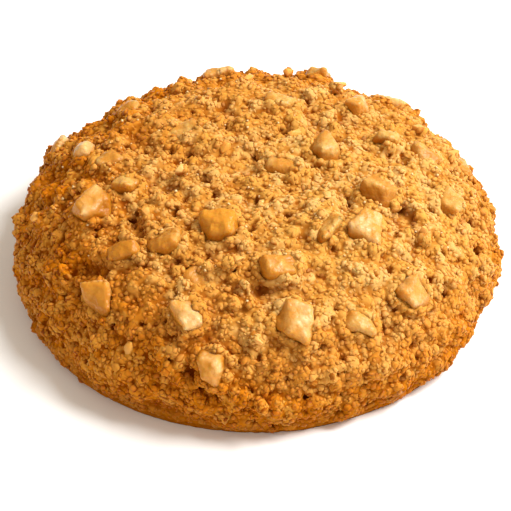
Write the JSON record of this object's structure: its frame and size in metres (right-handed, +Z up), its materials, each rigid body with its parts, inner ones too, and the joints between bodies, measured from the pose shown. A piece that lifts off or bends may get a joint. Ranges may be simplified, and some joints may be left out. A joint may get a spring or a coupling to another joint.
{
  "type": "peanut butter cookie",
  "caption": "Thick round baked cookie with a domed, craggy golden crust and chopped peanut pieces set into it, standing on a flat base.",
  "frame": {"origin": "centre of the flat base, on the surface that the cookie lies on", "axes": "+Z up out of the domed top, -Y towards the side that faces the viewer in the picture, +X to that viewer's right"},
  "size_m": [0.0764, 0.0768, 0.0235],
  "materials": {
    "dough": "baked crumb crust, golden brown, darker in its pits and round its side",
    "nut_pale": "cut peanut, cream, satin",
    "nut_roasted": "roasted peanut, tan, satin"
  },
  "bodies": {
    "root": {"dough": "dough", "nut_01": "nut_pale", "nut_02": "nut_roasted", "nut_03": "nut_pale", "nut_04": "nut_pale", "nut_05": "nut_pale", "nut_06": "nut_pale", "nut_07": "nut_roasted", "nut_08": "nut_roasted", "nut_09": "nut_roasted", "nut_10": "nut_roasted", "nut_11": "nut_pale", "nut_12": "nut_roasted", "nut_13": "nut_pale", "nut_14": "nut_pale", "nut_15": "nut_roasted", "nut_16": "nut_roasted", "nut_17": "nut_roasted", "nut_18": "nut_roasted", "nut_19": "nut_roasted", "nut_20": "nut_roasted", "nut_21": "nut_pale", "nut_22": "nut_roasted", "nut_23": "nut_roasted", "nut_24": "nut_roasted", "nut_25": "nut_roasted", "nut_26": "nut_pale", "nut_27": "nut_roasted", "nut_28": "nut_pale", "nut_29": "nut_pale", "nut_30": "nut_roasted", "nut_31": "nut_pale", "nut_32": "nut_roasted"}
  },
  "joints": []
}
